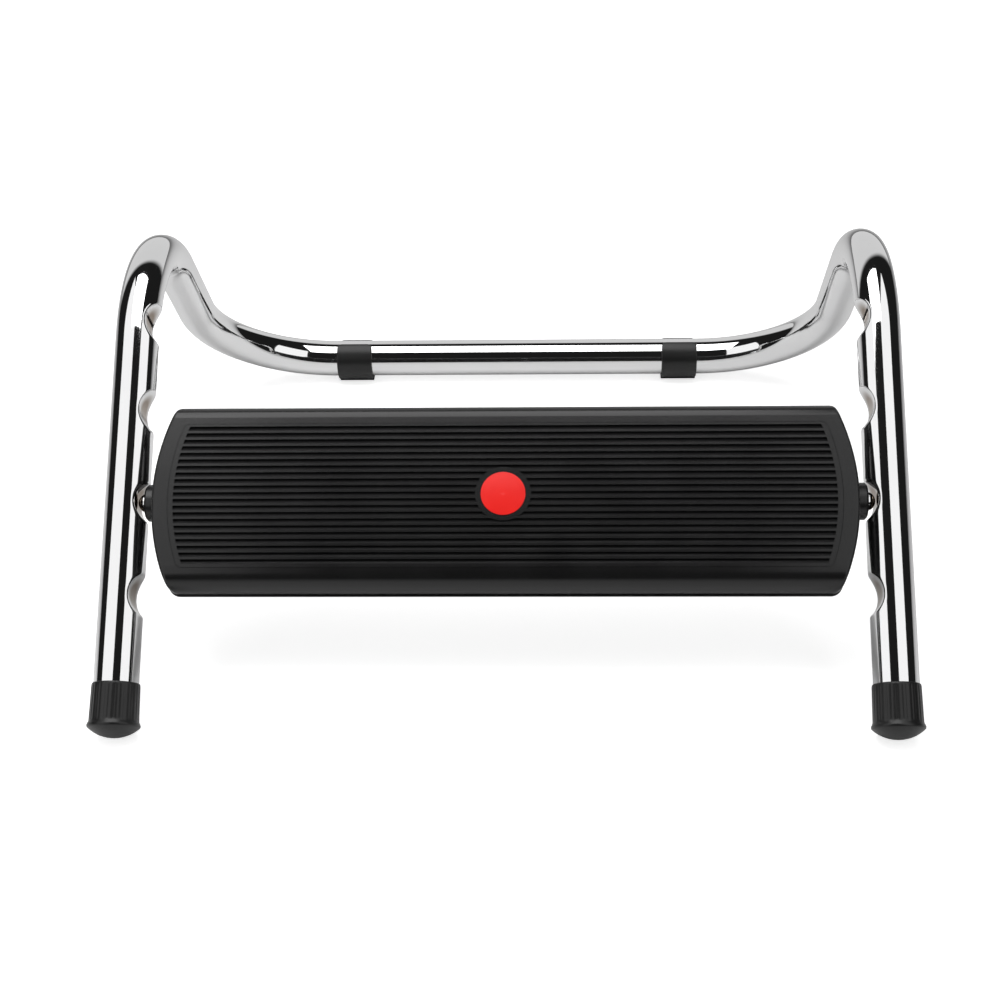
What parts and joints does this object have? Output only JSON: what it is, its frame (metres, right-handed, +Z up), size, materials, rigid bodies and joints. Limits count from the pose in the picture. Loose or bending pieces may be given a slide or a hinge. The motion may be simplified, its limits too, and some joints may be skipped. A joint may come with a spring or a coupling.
{
  "type": "footrest",
  "caption": "Under desk footrest: a ribbed platform that tilts on a rod, hung in pockets of a bent tube frame so that its height can be changed.",
  "frame": {"origin": "on the floor, under the middle of the object's box", "axes": "+X across to the user's right, +Y from the open front to the rear bar, +Z up"},
  "size_m": [0.4648, 0.4062, 0.1873],
  "materials": {
    "chrome_tube": "bright chrome plate",
    "black_rubber": "satin moulded rubber",
    "bright_steel": "bright plated steel",
    "black_nylon": "satin moulded nylon",
    "black_shell": "satin moulded plastic",
    "tread_rubber": "satin ribbed rubber",
    "red_plastic": "smooth moulded plastic",
    "screw_steel": "zinc plated"
  },
  "bodies": {
    "frame": {"tube_frame": "chrome_tube", "left_foot_cap": "black_rubber", "right_foot_cap": "black_rubber", "left_rear_pad": "black_rubber", "right_rear_pad": "black_rubber"},
    "axle": {"axle_rod": "bright_steel", "left_collar": "black_nylon", "right_collar": "black_nylon"},
    "footplate": {"footplate_cover": "black_shell", "footplate_base": "black_shell", "tread_mat": "tread_rubber", "red_disc": "red_plastic", "base_screws": "screw_steel"}
  },
  "joints": [
    {"name": "plate_lift", "type": "slide", "parent": "frame", "child": "axle", "axis": [0, -0.6334, 0.7738], "range_m": [0, 0.06]},
    {"name": "plate_tilt", "type": "hinge", "parent": "axle", "child": "footplate", "pos_m": [0, -0.09375, 0.09236], "axis": [1, 0, 0], "continuous": true}
  ]
}
